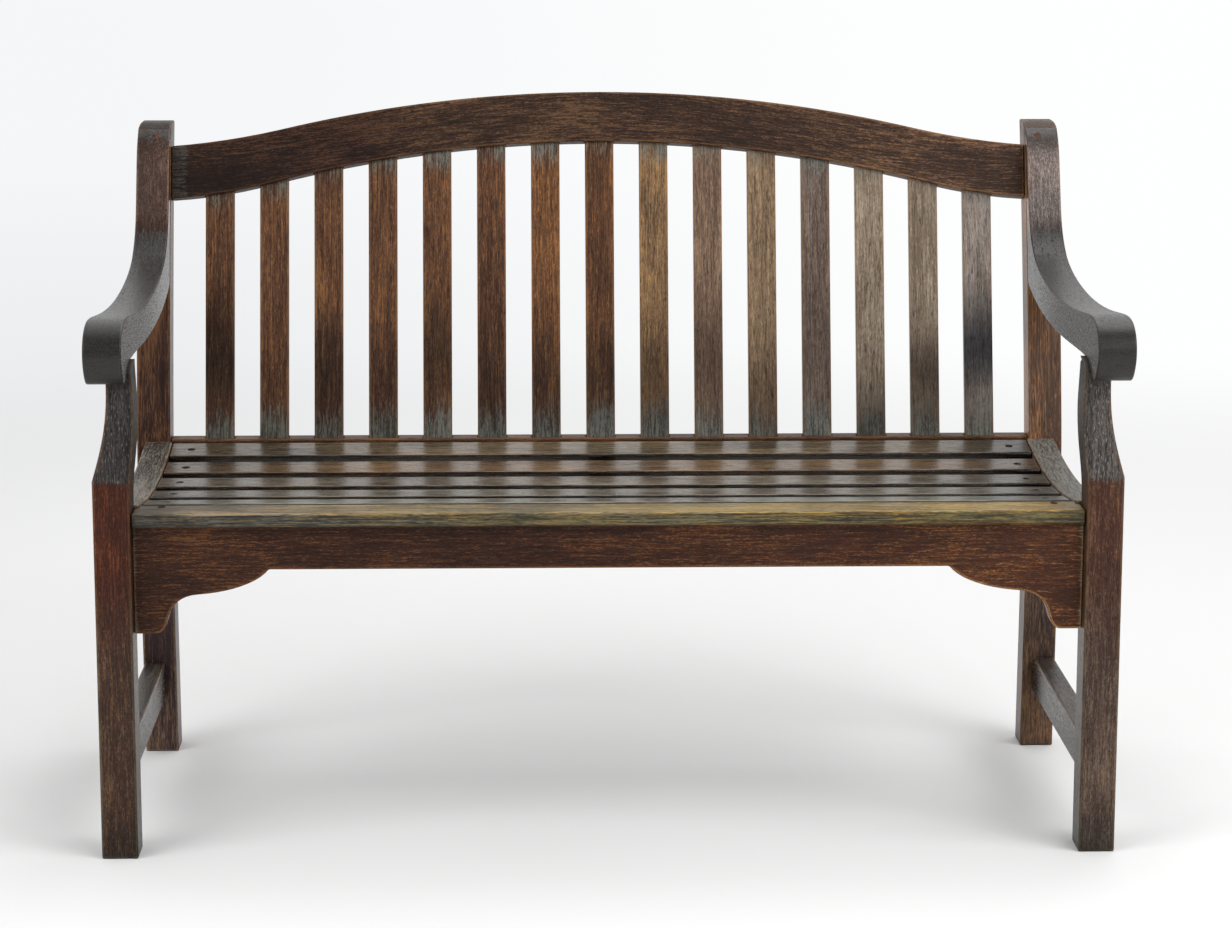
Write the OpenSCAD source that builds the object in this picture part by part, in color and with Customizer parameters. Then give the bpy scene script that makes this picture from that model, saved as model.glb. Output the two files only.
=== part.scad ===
// Two-seat hardwood garden bench: swan-neck arms, camel-back top rail, fifteen
// upright back slats, a dished slatted seat and a front apron with ogee ends.
// Left and right are as seen from the front. The bench is symmetrical about x = 0.

/* [Overall] */
// Width over the outer faces of the legs
bench_w = 1260; // [1000:5:1600]
// Front face of the front legs to the front face of the rear legs at seat height
frame_d = 472; // [380:1:600]
// Height of the seat nosing
seat_h = 434; // [380:1:540]
// Height of the rear posts
post_h = 858; // [820:1:1040]
// Height of the underside of the arms where the front legs carry them
arm_h = 620; // [590:1:640]

/* [Legs] */
// Width of every leg, across the bench
leg_w = 45; // [36:1:60]
// Depth of the front legs
front_leg_d = 50; // [42:1:65]
// Depth of the rear legs
rear_leg_d = 49; // [42:1:65]
// Inward set of the rear legs from the outer faces of the front legs
rear_inset = 2; // [0:0.5:4]
// Inward set of the outer face of a front leg at its waist
waist_out = 20; // [8:1:24]
// Inward bulge of the inner face of a front leg above the seat
waist_in = 8; // [0:1:12]
// Height of the shoulder where the front legs start to narrow
shoulder_h = 476; // [450:1:500]
// Length of the narrowing above the shoulder
waist_run = 115; // [80:1:135]
// Backward lean of the rear legs below the seat, in degrees
foot_kick = 3.1; // [0:0.1:6]
// Backward lean of the rear posts just above the seat, in degrees
post_rake = 10.8; // [4:0.1:16]
// Radius of the backward curve of the posts
post_curve_r = 3000; // [2000:50:8000]

/* [Arms] */
// Rise of an arm's top, where it dips behind the scroll, above the front legs
arm_t = 41; // [36:1:50]
// Forward reach of the scroll past the front legs
scroll_out = 58; // [40:1:80]
// Height of the scroll, crown to underside
scroll_h = 75; // [66:1:90]
// Thickness of an arm's tail where it starts to roll back over the post
tail_t = 18; // [12:1:20]
// Height of the roll over the top of the post
roll_h = 50; // [40:1:60]
// Depth of the roll, front to back
roll_d = 56; // [44:1:60]
// Diameter of the wooden plugs over the arm screws
plug_d = 8; // [8:1:12]

/* [Back] */
// Width of a back slat
back_slat_w = 39; // [28:1:50]
// Thickness of a back slat
back_slat_t = 14; // [10:1:18]
// Clear gap between a post and the first back slat
back_end_gap = 46; // [25:1:70]
// Height of the top rail at its crown
top_rail_h = 68; // [60:1:90]
// Thickness of the top rail
top_rail_t = 28; // [22:1:34]
// Rise of the middle arc of the top rail's lower edge
crown_rise = 57; // [30:1:70]
// Height of the bottom rail of the back
bottom_rail_h = 52; // [40:1:60]
// Thickness of the bottom rail of the back
bottom_rail_t = 30; // [24:1:34]

/* [Seat] */
// Width of a seat slat
seat_slat_w = 56; // [44:1:64]
// Thickness of the seat slats and of the nosing
seat_slat_t = 17; // [14:1:22]
// Width of the seat nosing, front to back
nosing_w = 59; // [50:1:70]
// Radius of the seat's dish
dish_r = 1350; // [1000:10:3000]
// Thickness of a side rail
side_rail_t = 37; // [28:1:40]
// Height of the side rails at the lowest point of the dish
side_rail_h = 58; // [48:1:75]
// Width of a bearer under the seat slats
bearer_w = 40; // [30:1:50]
// Height of the bearers at the lowest point of the dish
bearer_h = 38; // [28:1:55]

/* [Apron and stretchers] */
// Height of the apron between its brackets
apron_h = 55; // [45:1:70]
// Thickness of the apron
apron_t = 25; // [20:1:28]
// Drop of the apron's end brackets below its lower edge
bracket_drop = 80; // [50:1:95]
// Length of an end bracket
bracket_l = 166; // [140:1:220]
// Height of a side stretcher
stretcher_h = 49; // [35:1:60]
// Thickness of a side stretcher
stretcher_t = 28; // [20:1:32]
// Height of the stretchers' underside above the ground
stretcher_z = 79; // [60:1:160]

/* [Joints] */
// Clearance round every tenon, in every screw hole and at every shoulder
fit_gap = 0.2; // [0.1:0.05:0.4]
// Thickness of a tenon
tenon_t = 12; // [9:1:14]
// Length of a tenon across the bench
tenon_l = 26; // [18:1:30]
// Diameter of a screw's shank
screw_d = 4.5; // [4:0.5:5]
// Diameter of a screw's head
screw_head_d = 8; // [7:0.5:9]

/* [Hidden] */
$fn = 48;

BACK_SLATS = 15;
SEAT_SLATS = 5;

oak = "#4a2f22";
dark = "#33261f";
grey = "#5c5348";
olive = "#77704a";
steel = "#8a8880";

// ---- Curves ----

// Points of a cubic curve from a to d, its handles at b and c, without its first point
function curve(a, b, c, d, steps = 8) = [for (i = [1 : steps])
    let (t = i / steps, s = 1 - t)
    s * s * s * a + 3 * s * s * t * b + 3 * s * t * t * c + t * t * t * d];

// ---- Legs and posts ----

leg_out = bench_w / 2;
leg_in = leg_out - leg_w;
// Outer and inner faces of the rear legs
rear_out = leg_out - rear_inset;
rear_in = rear_out - leg_w;
// The rear legs bend at this height, a little under the seat
knee_z = seat_h - 23;
knee_soft = 30;
lean_low = -tan(foot_kick);
lean_high = tan(post_rake);
// Front face of a rear leg at height z: two straight runs blended at the knee, then the curve
function post_front(z) = let (h = z - knee_z, up = max(h, 0))
    frame_d + (lean_low + lean_high) / 2 * h
    + (lean_high - lean_low) / 2 * sqrt(h * h + knee_soft * knee_soft)
    + up * up / 2 / post_curve_r;
post_steps = 36;
post_z = [for (i = [0 : post_steps]) post_h * i / post_steps];

// ---- Arms ----

// An arm is a little wider than the legs that carry it
arm_out = leg_out;
arm_in = leg_in - 1.5;
arm_mid = (arm_in + rear_out) / 2;
// Height of the arm's top at its lowest, between the scroll and the sweep
arm_top = arm_h + arm_t;
scroll_top = arm_top + 15;
scroll_low = scroll_top - scroll_h;
// Where the arm's underside meets the post
arm_meets = arm_h + 24;
// The tail's front face and the post's top roll back together, from roll_start to roll_end
roll_z = post_h - roll_h;
roll_lean = post_front(roll_z) - post_front(roll_z - 1);
roll_start = [post_front(roll_z) - tail_t, roll_z];
roll_end = [roll_start[0] + roll_d, post_h];
plug_z = post_h - 17.5;
plug_x = arm_mid - 6;
arm_screw_l = 34;

// ---- Seat ----

nosing_set = 8;
nosing_back = nosing_set + nosing_w;
apron_set = 20;
apron_back = apron_set + apron_t;
apron_top = seat_h - seat_slat_t;
apron_low = apron_top - apron_h;
// The bottom rail of the back stands upright, just behind the front of the posts
bottom_rail_y = post_front(seat_h) + 9;
bottom_rail_top = seat_h + 5;
seat_rear_gap = 5.5;
slat_end_gap = 0.5;
seat_gap = (bottom_rail_y - nosing_back - seat_rear_gap - SEAT_SLATS * seat_slat_w) / SEAT_SLATS;
// Centre line of the dish, its lowest height and its axis: it starts just under the nosing's top
dish_y = (nosing_back + bottom_rail_y) / 2 - 12;
dish_low = seat_h - 0.7 - (dish_r - sqrt(dish_r * dish_r - pow(dish_y - nosing_back, 2)));
dish_z = dish_low + dish_r;
under_r = dish_r + seat_slat_t;
// Distance from the dish's axis to the underside of a flat slat whose edges rest on the bearers
function under_dist(w) = sqrt(pow(under_r - fit_gap, 2) - w * w / 4);
function seat_slat_y(i) = nosing_back + i * seat_gap + (i - 0.5) * seat_slat_w;
function seat_slat_tilt(i) = asin((seat_slat_y(i) - dish_y) / under_r);
side_rail_in = leg_in - 5;
side_rail_out = side_rail_in + side_rail_t;
rail_lip = 2;
side_rail_low = dish_low - side_rail_h;
bearer_low = dish_low - seat_slat_t - bearer_h;
bearer_x = [-(side_rail_in - bearer_w / 2), 0, side_rail_in - bearer_w / 2];
seat_screw_x = side_rail_in - 28;
seat_screw_l = 38;

// ---- Back ----

slat_span = 2 * (rear_in - back_end_gap) - back_slat_w;
back_pitch = slat_span / (BACK_SLATS - 1);
function back_slat_x(i) = -slat_span / 2 + (i - 1) * back_pitch;
// The top rail and the slats lie in one flat plane, which leans with the posts
crown_z = post_h - 25;
back_lean = atan((post_front(crown_z - 35) - post_front(seat_h)) / (crown_z - 35 - seat_h));
crown_v = (crown_z - bottom_rail_top) / cos(back_lean);
slat_housing = 14;

// Drop of a camel-back edge at x below its crown: a middle arc of half width `half` and
// height `rise`, then a reversed arc of length `run` that ends at the angle `ending`
function camel(x, half, rise, run, ending) = let (
    r1 = (half * half + rise * rise) / (2 * rise),
    turn = asin(half / r1),
    r2 = run / (sin(turn) - sin(ending)),
    d = abs(x))
    d <= half
    ? r1 - sqrt(r1 * r1 - d * d)
    : rise + r2 * cos(asin(sin(turn) - (d - half) / r2)) - r2 * cos(turn);
lower_run = 133;
upper_run = 153;
upper_rise = crown_rise - 7;
function rail_lower(x) = crown_v - camel(x, rear_in - lower_run, crown_rise, lower_run, 3.2);
function rail_upper(x) = crown_v + top_rail_h - camel(x, rear_in - upper_run, upper_rise, upper_run, 4.3);
rail_steps = 48;

// ---- Overall frame: the origin is under the middle of the bench's box ----

y_front = -scroll_out;
y_back = post_front(post_h) + rear_leg_d;
module in_frame() {
    translate([0, -(y_front + y_back) / 2, 0]) children();
}

// The right-hand piece as drawn, or its mirror image on the left
module on_side(side) {
    if (side > 0) children();
    else mirror([1, 0, 0]) children();
}

// ---- Building blocks ----

module rounded_rectangle(w, h, r) {
    translate([0, r]) square([w, h - 2 * r]);
    translate([r, 0]) square([w - 2 * r, h]);
    for (x = [r, w - r])
        for (y = [r, h - r])
            translate([x, y]) circle(r);
}

// Board of length l along x, with a w by h section whose long edges are eased
module board(l, w, h, r = 2.5) {
    rotate([90, 0, 90]) linear_extrude(l) rounded_rectangle(w, h, r);
}

// Extrudes an outline drawn in (y, z) from x0 to x1
module across(x0, x1) {
    translate([x0, 0, 0]) rotate([90, 0, 90]) linear_extrude(x1 - x0) children();
}

// Box between two corners, grown by g on every side
module block(a, b, g = 0) {
    translate([for (k = [0 : 2]) a[k] - g]) cube([for (k = [0 : 2]) b[k] - a[k] + 2 * g]);
}

// Countersunk screw, its head's top at the origin and its shank down -z
module screw(l, g = 0, head_d = screw_head_d) {
    head_h = (head_d - screw_d) / 2;
    translate([0, 0, -l - g]) cylinder(h = l + g, d = screw_d + 2 * g);
    translate([0, 0, -head_h - g]) cylinder(h = head_h + g, d1 = screw_d + 2 * g, d2 = head_d + 2 * g);
}

// ---- Tenons, each also used with a clearance to cut its mortise ----

apron_tenon_z = [apron_low - bracket_drop + 14, apron_low - 4];
module apron_tenon(g = 0) {
    y = apron_set + (apron_t - tenon_t) / 2;
    block([leg_in - 1, y, apron_tenon_z[0]], [leg_in + tenon_l, y + tenon_t, apron_tenon_z[1]], g);
}

side_tenon_z = [side_rail_low + 8, side_rail_low + 40];
side_tenon_x = (side_rail_in + side_rail_out - tenon_t) / 2;
side_tenon_front = 22;
side_tenon_rear = 15;
module side_rail_tenons(g = 0) {
    block([side_tenon_x, front_leg_d - side_tenon_front, side_tenon_z[0]],
        [side_tenon_x + tenon_t, front_leg_d + 1, side_tenon_z[1]], g);
    rear = post_front(side_tenon_z[1]);
    block([side_tenon_x, rear - 4, side_tenon_z[0]],
        [side_tenon_x + tenon_t, rear + side_tenon_rear, side_tenon_z[1]], g);
}

stretcher_in = leg_out - 4 - stretcher_t;
module stretcher_tenons(g = 0) {
    x = stretcher_in + (stretcher_t - tenon_t) / 2;
    z = [stretcher_z + 7, stretcher_z + stretcher_h - 7];
    rear = post_front(z[0]);
    block([x, front_leg_d - tenon_l, z[0]], [x + tenon_t, front_leg_d + 1, z[1]], g);
    block([x, rear - 4, z[0]], [x + tenon_t, rear + tenon_l, z[1]], g);
}

module bottom_rail_tenon(g = 0) {
    y = bottom_rail_y + (bottom_rail_t - tenon_t) / 2;
    block([rear_in - 1, y, bottom_rail_top - bottom_rail_h + 6],
        [rear_in + tenon_l, y + tenon_t, bottom_rail_top - 6], g);
}

module top_rail_tenon(g = 0) {
    y = (top_rail_t - tenon_t) / 2;
    on_back() block([rear_in - 1, y, rail_lower(rear_in) + 12],
        [rear_in + tenon_l, y + tenon_t, rail_upper(rear_in) - 12], g);
}

// Stub tenon on the back of an arm, into the front of the post
module arm_tenon(g = 0) {
    z = [arm_meets + 14, arm_meets + 50];
    x = arm_mid - tenon_t / 2;
    block([x, post_front(z[0]) - 8, z[0]], [x + tenon_t, post_front(z[1]) + 18, z[1]], g);
}

leg_top_in = leg_in - 0.7 * waist_in;
leg_top_mid = (leg_top_in + leg_out - waist_out) / 2;
module leg_top_tenon(g = 0) {
    block([leg_top_mid - tenon_t / 2, 12, arm_h - 12],
        [leg_top_mid + tenon_t / 2, front_leg_d - 10, arm_h + 24], g);
}

// ---- Legs ----

// Waste in front of the roll in (y, z), shared by a post and the arm's tail
module roll_waste() {
    rise = 0.55 * roll_h;
    run = 0.55 * (roll_d - roll_lean * roll_h);
    polygon(concat([roll_start],
        curve(roll_start, roll_start + [roll_lean * rise, rise], roll_end - [run, 0], roll_end, 10),
        [[roll_end[0], post_h + 5], [roll_start[0] - 30, post_h + 5], [roll_start[0] - 30, roll_z]]));
}

// Outline of a rear leg in (y, z)
module rear_leg_outline() {
    nose = 5;
    difference() {
        polygon(concat(
            [for (z = post_z) [post_front(z), z]],
            curve([post_front(post_h) + rear_leg_d - nose, post_h],
                [post_front(post_h) + rear_leg_d - 1, post_h],
                [post_front(post_h - 1) + rear_leg_d, post_h - 1],
                [post_front(post_h - nose) + rear_leg_d, post_h - nose], 4),
            [for (i = [post_steps : -1 : 0]) if (post_z[i] < post_h - nose)
                [post_front(post_z[i]) + rear_leg_d, post_z[i]]]));
        roll_waste();
    }
}

// Waste outside the rounding of a post's outer top corner, shared by the arm's tail
module top_corner() {
    y = post_front(post_h) - 60;
    a = [rear_out - 4.5, post_h];
    b = [rear_out, post_h - 12];
    translate([0, y + 180, 0]) rotate([90, 0, 0]) linear_extrude(180)
        polygon(concat([b, [rear_out + 10, b[1]], [rear_out + 10, post_h + 5], [a[0], post_h + 5], a],
            curve(a, [rear_out - 1.5, post_h], [rear_out, post_h - 5], b, 6)));
}

module rear_leg(side) {
    color(oak) in_frame() on_side(side) difference() {
        across(rear_in, rear_out) rear_leg_outline();
        side_rail_tenons(fit_gap);
        stretcher_tenons(fit_gap);
        bottom_rail_tenon(fit_gap);
        top_rail_tenon(fit_gap);
        arm_tenon(fit_gap);
        arm_screw(fit_gap);
        top_corner();
    }
}

// Outline of a front leg in (x, z), waisted above its shoulder, with waste above the arm's underside
module front_leg_outline() {
    top = arm_h + 10;
    waist_end = min(shoulder_h + waist_run, arm_h);
    bulge_start = shoulder_h - 30;
    bulge_end = min(bulge_start + waist_run, arm_h - 30);
    x_out = leg_out - waist_out;
    x_in = leg_in - waist_in;
    polygon(concat(
        [[leg_in, 0], [leg_out, 0], [leg_out, shoulder_h]],
        curve([leg_out, shoulder_h], [leg_out - 0.6 * waist_out, shoulder_h + 0.35 * waist_run],
            [x_out, shoulder_h + 0.6 * waist_run], [x_out, waist_end], 12),
        [[x_out, top], [leg_top_in, top], [leg_top_in, arm_h]],
        curve([leg_top_in, arm_h], [leg_top_in, arm_h - 10], [x_in, bulge_end + 15], [x_in, bulge_end], 6),
        curve([x_in, bulge_end], [x_in, bulge_end - 0.45 * waist_run],
            [leg_in, bulge_start + 0.35 * waist_run], [leg_in, bulge_start], 12)));
}

module front_leg(side) {
    color(oak) in_frame() on_side(side) {
        difference() {
            translate([0, front_leg_d, 0]) rotate([90, 0, 0]) linear_extrude(front_leg_d) front_leg_outline();
            across(leg_in - waist_in - 1, leg_out + 1) translate([0, -fit_gap]) arm_outline();
            apron_tenon(fit_gap);
            side_rail_tenons(fit_gap);
            stretcher_tenons(fit_gap);
        }
        leg_top_tenon();
    }
}

// ---- Arms ----

// Outline of an arm in (y, z): tail up the post, sweep, scroll and underside
module arm_outline() {
    meet = [for (i = [0 : 14]) let (z = arm_meets + (post_h - arm_meets) * i / 14)
        [post_front(z) - fit_gap, z]];
    bend = [post_front(arm_top + 93) - 21, arm_top + 93];
    turn = [post_front(arm_top + 27) - 64, arm_top + 27];
    dip = [front_leg_d + 195, arm_top];
    crown = [0, scroll_top];
    nose = [-scroll_out, scroll_top - 0.5 * scroll_h];
    heel = [-26, scroll_low];
    over_leg = [front_leg_d, arm_h];
    low = [front_leg_d + 190, arm_h - 4];
    difference() {
        polygon(concat(
            meet,
            [[post_front(post_h) - tail_t, post_h], roll_start],
            curve(roll_start, roll_start - [18 * roll_lean, 18], bend + [7, 20], bend, 5),
            curve(bend, bend - [12, 36], turn + [28, 14], turn, 9),
            curve(turn, turn - [52, 21], dip + [70, 0], dip, 9),
            curve(dip, dip - [125, 0], crown + [45, 0], crown, 9),
            curve(crown, crown - [32, 0], nose + [0, 26], nose, 9),
            curve(nose, nose - [0, 18], heel - [12, 0], heel, 8),
            curve(heel, heel + [22, 0], [4, arm_h - 3], [30, arm_h], 8),
            [over_leg],
            curve(over_leg, over_leg + [60, 0], low - [60, 0], low, 6),
            curve(low, low + [110, 0], meet[0] - [75, 22], meet[0], 8)));
        roll_waste();
    }
}

// Screw that holds an arm's tail to its post, its head just behind the plug
module arm_screw(g = 0) {
    translate([plug_x, post_front(plug_z) - 1.5, plug_z]) rotate([-90, 0, 0]) mirror([0, 0, 1])
        screw(arm_screw_l, g, plug_d - 1);
}

module arm_plug_hole(g = 0) {
    translate([plug_x, post_front(plug_z) - 1.5 - fit_gap, plug_z]) rotate([90, 0, 0])
        cylinder(h = 40, d = plug_d + 2 * g);
}

// Cuts the outer face of an arm back from the front leg to the post, where it ends flush
module arm_taper() {
    back = post_front(post_h) + 10;
    angle = atan(rear_inset / (post_front(arm_meets) - front_leg_d));
    translate([arm_out, front_leg_d, 0]) rotate([0, 0, angle]) cube([20, back, post_h + 50]);
}

module arm(side) {
    color(dark) in_frame() on_side(side) {
        difference() {
            across(arm_in, arm_out) arm_outline();
            arm_taper();
            leg_top_tenon(fit_gap);
            arm_screw(fit_gap);
            arm_plug_hole(fit_gap / 2);
            top_corner();
        }
        arm_tenon();
    }
}

module arm_screws() {
    color(steel) in_frame() for (side = [-1, 1]) on_side(side) arm_screw();
}

module arm_plugs() {
    color("#8a5a36") in_frame() for (side = [-1, 1]) on_side(side) intersection() {
        arm_plug_hole(-fit_gap / 2);
        across(arm_in, arm_out) arm_outline();
    }
}

// ---- Back ----

// Local frame of the back's plane: y is its thickness, z runs up its slope
module on_back() {
    translate([0, bottom_rail_y, bottom_rail_top]) rotate([-back_lean, 0, 0]) children();
}

module back_slat_blank(i, g = 0) {
    top = min(rail_lower(back_slat_x(i) - back_slat_w / 2), rail_lower(back_slat_x(i) + back_slat_w / 2));
    rise = max(rail_lower(back_slat_x(i) - back_slat_w / 2),
        rail_lower(back_slat_x(i) + back_slat_w / 2)) - top;
    length = slat_housing + top + rise + slat_housing;
    corner = [back_slat_x(i) - back_slat_w / 2 - g, (top_rail_t - back_slat_t) / 2 - g, -slat_housing - g];
    on_back() translate(corner)
        linear_extrude(length + 2 * g) rounded_rectangle(back_slat_w + 2 * g, back_slat_t + 2 * g, 2);
}

module back_slat(i) {
    color(oak) in_frame() back_slat_blank(i);
}

module top_rail() {
    end = rear_in - fit_gap;
    xs = [for (k = [0 : rail_steps]) end * (2 * k / rail_steps - 1)];
    color(oak) in_frame() {
        difference() {
            on_back() translate([0, top_rail_t, 0]) rotate([90, 0, 0]) linear_extrude(top_rail_t)
                polygon(concat([for (x = xs) [x, rail_lower(x)]],
                    [for (k = [rail_steps : -1 : 0]) [xs[k], rail_upper(xs[k])]]));
            for (i = [1 : BACK_SLATS]) back_slat_blank(i, fit_gap);
        }
        for (side = [-1, 1]) on_side(side) top_rail_tenon();
    }
}

module back_bottom_rail() {
    color(oak) in_frame() {
        difference() {
            translate([-rear_in + fit_gap, bottom_rail_y, bottom_rail_top - bottom_rail_h])
                board(2 * (rear_in - fit_gap), bottom_rail_t, bottom_rail_h);
            for (i = [1 : BACK_SLATS]) back_slat_blank(i, fit_gap);
            centre_bearer_tenons(fit_gap);
        }
        for (side = [-1, 1]) on_side(side) bottom_rail_tenon();
    }
}

// ---- Seat ----

// Local frame of seat slat i: the origin is in the middle of its underside, z is its normal.
// Where i is 0 it is that of the nosing, over the front ends of the bearers.
module on_seat(i) {
    if (i > 0) translate([0, dish_y, dish_z]) rotate([seat_slat_tilt(i), 0, 0])
        translate([0, 0, -under_dist(seat_slat_w)]) children();
    else translate([0, apron_back + 11, apron_top]) children();
}

module seat_slat(i) {
    l = 2 * (side_rail_in - slat_end_gap);
    color(grey) in_frame() difference() {
        on_seat(i) translate([-l / 2, -seat_slat_w / 2, 0]) board(l, seat_slat_w, seat_slat_t, 3);
        seat_screw_row(i, fit_gap);
    }
}

// The three screws of slat i: down into the side bearers, up through the centre one.
// With a clearance they come with the bores over their heads.
module seat_screw_row(i, g = 0) {
    sink = 2;
    for (x = [-seat_screw_x, seat_screw_x])
        on_seat(i) translate([x, 0, seat_slat_t - sink]) {
            screw(seat_screw_l, g);
            if (g > 0) cylinder(h = sink + 1, d = screw_head_d + 2 * g);
        }
    on_seat(i) translate([0, 0, seat_slat_t - 7 - seat_screw_l]) mirror([0, 0, 1]) {
        screw(seat_screw_l, g);
        if (g > 0) cylinder(h = bearer_h, d = screw_head_d + 2 * g);
    }
}

// The nosing runs from leg to leg, notched at its back corners round the side rails
module seat_nosing() {
    end = leg_in - fit_gap;
    color(olive) in_frame() difference() {
        translate([-end, nosing_set, apron_top + fit_gap]) board(2 * end, nosing_w, seat_slat_t - fit_gap, 4);
        for (side = [-1, 1]) on_side(side)
            block([side_rail_in - fit_gap, front_leg_d, apron_top - 1],
                [leg_in + 1, nosing_back + 1, seat_h + 1]);
        seat_screw_row(0, fit_gap);
    }
}

// Space above the bearers: the dish, and the flat under the nosing
module above_bearers() {
    rotate([90, 0, 90]) translate([0, 0, -bench_w]) linear_extrude(2 * bench_w) {
        translate([dish_y, dish_z]) circle(under_r, $fn = 360);
        translate([0, apron_top]) square([nosing_back + 2, 60]);
    }
}

// Tenons of the centre bearer, into the apron and the bottom rail
module centre_bearer_tenons(g = 0) {
    z = [bearer_low + 6, bearer_low + bearer_h - 8];
    block([-tenon_t / 2, apron_back - 10, z[0]], [tenon_t / 2, apron_back + 1, z[1]], g);
    block([-tenon_t / 2, bottom_rail_y - 1, z[0]], [tenon_t / 2, bottom_rail_y + 10, z[1]], g);
}

module seat_bearer(k) {
    color(dark) in_frame() {
        difference() {
            block([bearer_x[k] - bearer_w / 2 + fit_gap, apron_back + fit_gap, bearer_low],
                [bearer_x[k] + bearer_w / 2 - fit_gap, bottom_rail_y - fit_gap, seat_h]);
            above_bearers();
            for (i = [0 : SEAT_SLATS]) seat_screw_row(i, fit_gap);
            if (k != 1) bearer_screw_set(k - 1, fit_gap);
        }
        if (k == 1) centre_bearer_tenons();
    }
}

// Screws that hold a side bearer to its side rail, driven outwards
module bearer_screw_set(side, g = 0) {
    for (i = [0.5, 2.5, 4.5])
        on_side(side) translate([side_rail_in - bearer_w + 6, seat_slat_y(i), bearer_low + 13])
            rotate([0, -90, 0]) {
                screw(bearer_w + 16, g);
                if (g > 0) cylinder(h = 8, d = screw_head_d + 2 * g);
            }
}

module side_rail(side) {
    color(grey) in_frame() on_side(side) {
        difference() {
            block([side_rail_in, front_leg_d + fit_gap, side_rail_low],
                [side_rail_out, post_front(seat_h) + 30, seat_h + 20]);
            rotate([90, 0, 90]) linear_extrude(bench_w)
                translate([dish_y, dish_z]) circle(dish_r - rail_lip, $fn = 360);
            across(side_rail_in - 1, side_rail_out + 1) translate([-fit_gap, 0]) rear_leg_outline();
            bearer_screw_set(1, fit_gap);
        }
        side_rail_tenons();
    }
}

module seat_screws() {
    color(steel) in_frame() for (i = [0 : SEAT_SLATS]) seat_screw_row(i);
}

module bearer_screws() {
    color(steel) in_frame() for (side = [-1, 1]) bearer_screw_set(side);
}

// ---- Apron and stretchers ----

// Outline of the apron's right half in (x, z), bracket included
module apron_half() {
    end = leg_in - fit_gap;
    toe = leg_in - bracket_l;
    step = [toe + 0.53 * bracket_l, apron_low - 0.39 * bracket_drop];
    knee = [toe + 0.75 * bracket_l, apron_low - 0.76 * bracket_drop];
    foot = [toe + 0.84 * bracket_l, apron_low - bracket_drop];
    polygon(concat(
        [[0, apron_top], [0, apron_low], [toe, apron_low]],
        curve([toe, apron_low], [toe + 0.08 * bracket_l, apron_low - 0.22 * bracket_drop],
            [toe + 0.3 * bracket_l, apron_low - 0.36 * bracket_drop], step, 10),
        curve(step, step + [0.12 * bracket_l, -0.02 * bracket_drop],
            knee + [-0.025 * bracket_l, 0.22 * bracket_drop],
            knee, 8),
        curve(knee, knee - [-0.015 * bracket_l, 0.14 * bracket_drop], foot - [0.05 * bracket_l, 0], foot, 6),
        [[end, apron_low - bracket_drop], [end, apron_top]]));
}

module front_apron() {
    color(oak) in_frame() {
        difference() {
            translate([0, apron_back, 0]) rotate([90, 0, 0]) linear_extrude(apron_t) {
                apron_half();
                mirror([1, 0]) apron_half();
            }
            centre_bearer_tenons(fit_gap);
        }
        for (side = [-1, 1]) on_side(side) apron_tenon();
    }
}

module side_stretcher(side) {
    color(dark) in_frame() on_side(side) {
        difference() {
            translate([stretcher_in, front_leg_d + fit_gap, stretcher_z]) mirror([1, -1, 0])
                board(post_front(0) - front_leg_d + 10, stretcher_t, stretcher_h);
            across(stretcher_in - 1, leg_out + 1) translate([-fit_gap, 0]) rear_leg_outline();
        }
        stretcher_tenons();
    }
}

rear_leg(-1);  // rear_leg_left
rear_leg(1);  // rear_leg_right
front_leg(-1);  // front_leg_left
front_leg(1);  // front_leg_right
arm(-1);  // arm_left
arm(1);  // arm_right
arm_screws();
arm_plugs();
top_rail();
back_bottom_rail();
back_slat(1);  // back_slat_01
back_slat(2);  // back_slat_02
back_slat(3);  // back_slat_03
back_slat(4);  // back_slat_04
back_slat(5);  // back_slat_05
back_slat(6);  // back_slat_06
back_slat(7);  // back_slat_07
back_slat(8);  // back_slat_08
back_slat(9);  // back_slat_09
back_slat(10);  // back_slat_10
back_slat(11);  // back_slat_11
back_slat(12);  // back_slat_12
back_slat(13);  // back_slat_13
back_slat(14);  // back_slat_14
back_slat(15);  // back_slat_15
seat_slat(1);  // seat_slat_1
seat_slat(2);  // seat_slat_2
seat_slat(3);  // seat_slat_3
seat_slat(4);  // seat_slat_4
seat_slat(5);  // seat_slat_5
seat_nosing();
side_rail(-1);  // side_rail_left
side_rail(1);  // side_rail_right
seat_bearer(0);  // seat_bearer_left
seat_bearer(1);  // seat_bearer_centre
seat_bearer(2);  // seat_bearer_right
seat_screws();
bearer_screws();
front_apron();
side_stretcher(-1);  // side_stretcher_left
side_stretcher(1);  // side_stretcher_right
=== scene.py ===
"""Garden bench: wood finishes, eased edges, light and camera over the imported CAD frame."""
import bpy
import itertools
import math
from mathutils import Matrix, Vector


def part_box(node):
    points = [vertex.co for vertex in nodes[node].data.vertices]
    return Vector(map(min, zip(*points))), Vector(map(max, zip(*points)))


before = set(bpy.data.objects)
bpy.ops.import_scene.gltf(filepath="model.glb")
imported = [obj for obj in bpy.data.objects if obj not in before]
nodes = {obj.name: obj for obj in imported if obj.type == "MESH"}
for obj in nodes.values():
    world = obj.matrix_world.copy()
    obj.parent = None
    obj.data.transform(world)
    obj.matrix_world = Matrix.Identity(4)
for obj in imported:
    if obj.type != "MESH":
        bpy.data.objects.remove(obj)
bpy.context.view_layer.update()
scene = bpy.context.scene

# Sizes of the CAD part that its boxes don't give, in metres
BACK_LEAN = math.radians(14.27)
LEG_BULGE = 0.008
SHOULDER_RISE = 0.042
SWEEP_RISE = 0.100
# Roughly the curves that the grain follows in the top rail and in the arms' sweep, in metres
ARCH_FALL = 0.060
SWEEP_RADIUS = 0.180
SWEEP_BACK = 0.400
SWEEP_DROP = 0.030

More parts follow.
